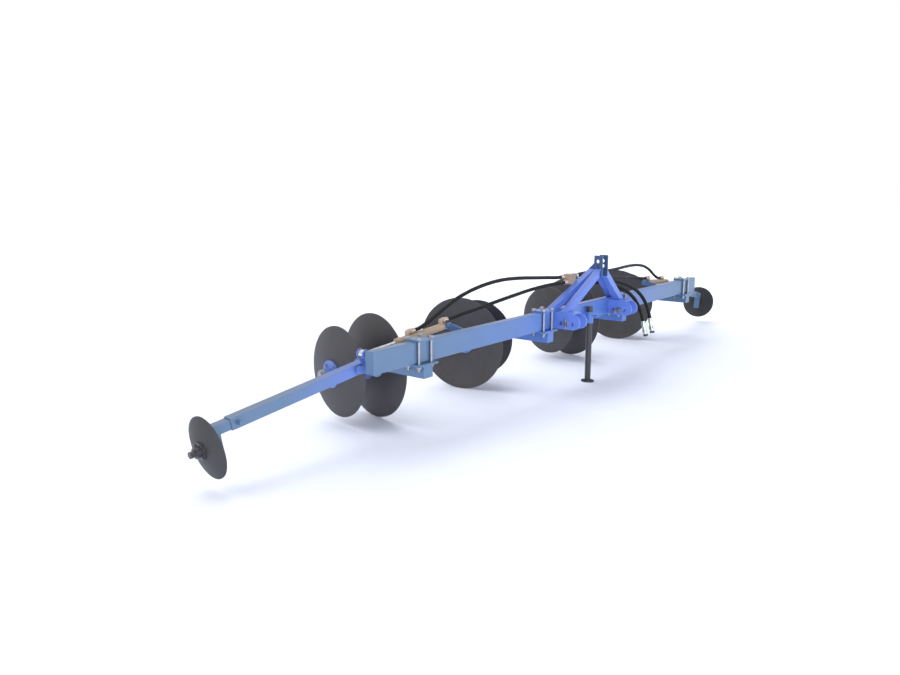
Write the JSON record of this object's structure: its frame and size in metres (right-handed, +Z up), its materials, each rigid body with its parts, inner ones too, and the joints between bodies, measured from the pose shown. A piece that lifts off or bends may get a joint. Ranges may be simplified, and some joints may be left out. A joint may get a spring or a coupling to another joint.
{
  "type": "disc ridger",
  "caption": "Tractor-mounted disc ridger: a toolbar with paired dished discs on toed axles that throw soil into ridges, a three-point mast and folding hydraulic row markers.",
  "frame": {"origin": "centre of the parking foot's underside, on the floor", "axes": "+X along the toolbar, +Y from the hitch towards the discs, +Z up"},
  "size_m": [6.2674, 1.1065, 0.947],
  "materials": {
    "blue_paint": "satin",
    "disc_steel": "satin",
    "zinc_steel": "bright zinc",
    "chrome_rod": "polished",
    "beige_paint": "satin",
    "black_paint": "satin",
    "hose_rubber": "matte",
    "coupler_steel": "satin"
  },
  "bodies": {
    "frame": {"toolbar": "blue_paint", "shank_a": "blue_paint", "shank_b": "blue_paint", "shank_c": "blue_paint", "shank_d": "blue_paint", "bearing_housing_a": "blue_paint", "bearing_housing_b": "blue_paint", "bearing_housing_c": "blue_paint", "bearing_housing_d": "blue_paint", "gang_bearings": "zinc_steel", "clamp_bolts": "zinc_steel", "clamp_top_plates": "blue_paint", "clamp_nuts": "zinc_steel", "pad_bolts": "zinc_steel", "lower_link_brackets": "blue_paint", "lower_link_pins": "zinc_steel", "mast_head": "blue_paint", "mast_front_struts": "blue_paint", "mast_rear_struts": "blue_paint", "stand_socket": "blue_paint", "marker_brackets": "blue_paint", "marker_pins": "zinc_steel", "cylinder_barrels": "beige_paint", "cylinder_brackets": "blue_paint", "manifold": "beige_paint", "hose_left_near": "hose_rubber", "hose_left_far": "hose_rubber", "hose_right_near": "hose_rubber", "hose_right_far": "hose_rubber", "hose_supply_one": "hose_rubber", "hose_supply_two": "hose_rubber", "coupler_one": "coupler_steel", "coupler_two": "coupler_steel"},
    "gang_a": {"gang_shaft_a": "zinc_steel", "disc_large_a": "disc_steel", "disc_small_a": "disc_steel", "gang_hubs_a": "blue_paint"},
    "gang_b": {"gang_shaft_b": "zinc_steel", "disc_large_b": "disc_steel", "disc_small_b": "disc_steel", "gang_hubs_b": "blue_paint"},
    "gang_c": {"gang_shaft_c": "zinc_steel", "disc_large_c": "disc_steel", "disc_small_c": "disc_steel", "gang_hubs_c": "blue_paint"},
    "gang_d": {"gang_shaft_d": "zinc_steel", "disc_large_d": "disc_steel", "disc_small_d": "disc_steel", "gang_hubs_d": "blue_paint"},
    "arm_left": {"marker_arm_left": "blue_paint"},
    "extension_left": {"marker_inner_left": "blue_paint"},
    "marker_left": {"marker_disc_left": "disc_steel", "marker_hub_left": "blue_paint"},
    "rod_left": {"cylinder_rod_left": "chrome_rod"},
    "arm_right": {"marker_arm_right": "blue_paint"},
    "extension_right": {"marker_inner_right": "blue_paint"},
    "marker_right": {"marker_disc_right": "disc_steel", "marker_hub_right": "blue_paint"},
    "rod_right": {"cylinder_rod_right": "chrome_rod"},
    "stand": {"stand_leg": "black_paint"}
  },
  "joints": [
    {"name": "gang_a_spin", "type": "hinge", "parent": "frame", "child": "gang_a", "pos_m": [-1.8435, 0.6485, 0.33], "axis": [0.9848, -0.1736, 0], "continuous": true},
    {"name": "gang_b_spin", "type": "hinge", "parent": "frame", "child": "gang_b", "pos_m": [-0.5555, 0.6485, 0.33], "axis": [-0.9848, -0.1736, 0], "continuous": true},
    {"name": "gang_c_spin", "type": "hinge", "parent": "frame", "child": "gang_c", "pos_m": [0.5555, 0.6485, 0.33], "axis": [0.9848, -0.1736, 0], "continuous": true},
    {"name": "gang_d_spin", "type": "hinge", "parent": "frame", "child": "gang_d", "pos_m": [1.8435, 0.6485, 0.33], "axis": [-0.9848, -0.1736, 0], "continuous": true},
    {"name": "marker_fold_left", "type": "hinge", "parent": "frame", "child": "arm_left", "pos_m": [-2.058, 0.246, 0.447], "axis": [0, 1, 0], "range_deg": [0, 66]},
    {"name": "rod_slide_left", "type": "slide", "parent": "frame", "child": "rod_left", "axis": [0.9965, 0, 0.0837], "range_m": [0, 0.1257]},
    {"name": "marker_extend_left", "type": "slide", "parent": "arm_left", "child": "extension_left", "axis": [-0.9833, 0.0722, -0.1668], "range_m": [0, 0.3]},
    {"name": "marker_spin_left", "type": "hinge", "parent": "extension_left", "child": "marker_left", "pos_m": [-3.06772, 0.34815, 0.21574], "axis": [-0.9833, 0.0722, -0.1668], "continuous": true},
    {"name": "marker_fold_right", "type": "hinge", "parent": "frame", "child": "arm_right", "pos_m": [2.058, 0.246, 0.447], "axis": [0, -1, 0], "range_deg": [0, 66]},
    {"name": "rod_slide_right", "type": "slide", "parent": "frame", "child": "rod_right", "axis": [-0.9965, 0, 0.0837], "range_m": [0, 0.1257]},
    {"name": "marker_extend_right", "type": "slide", "parent": "arm_right", "child": "extension_right", "axis": [0.9833, 0.0722, -0.1668], "range_m": [0, 0.3]},
    {"name": "marker_spin_right", "type": "hinge", "parent": "extension_right", "child": "marker_right", "pos_m": [3.06772, 0.34815, 0.21574], "axis": [0.9833, 0.0722, -0.1668], "continuous": true},
    {"name": "stand_slide", "type": "slide", "parent": "frame", "child": "stand", "axis": [0, 0, 1], "range_m": [0, 0.2]}
  ],
  "couplings": [
    {"joint": "rod_slide_left", "follows": "marker_fold_left", "m_per_rad": 0.10875},
    {"joint": "rod_slide_right", "follows": "marker_fold_right", "m_per_rad": 0.10875}
  ]
}
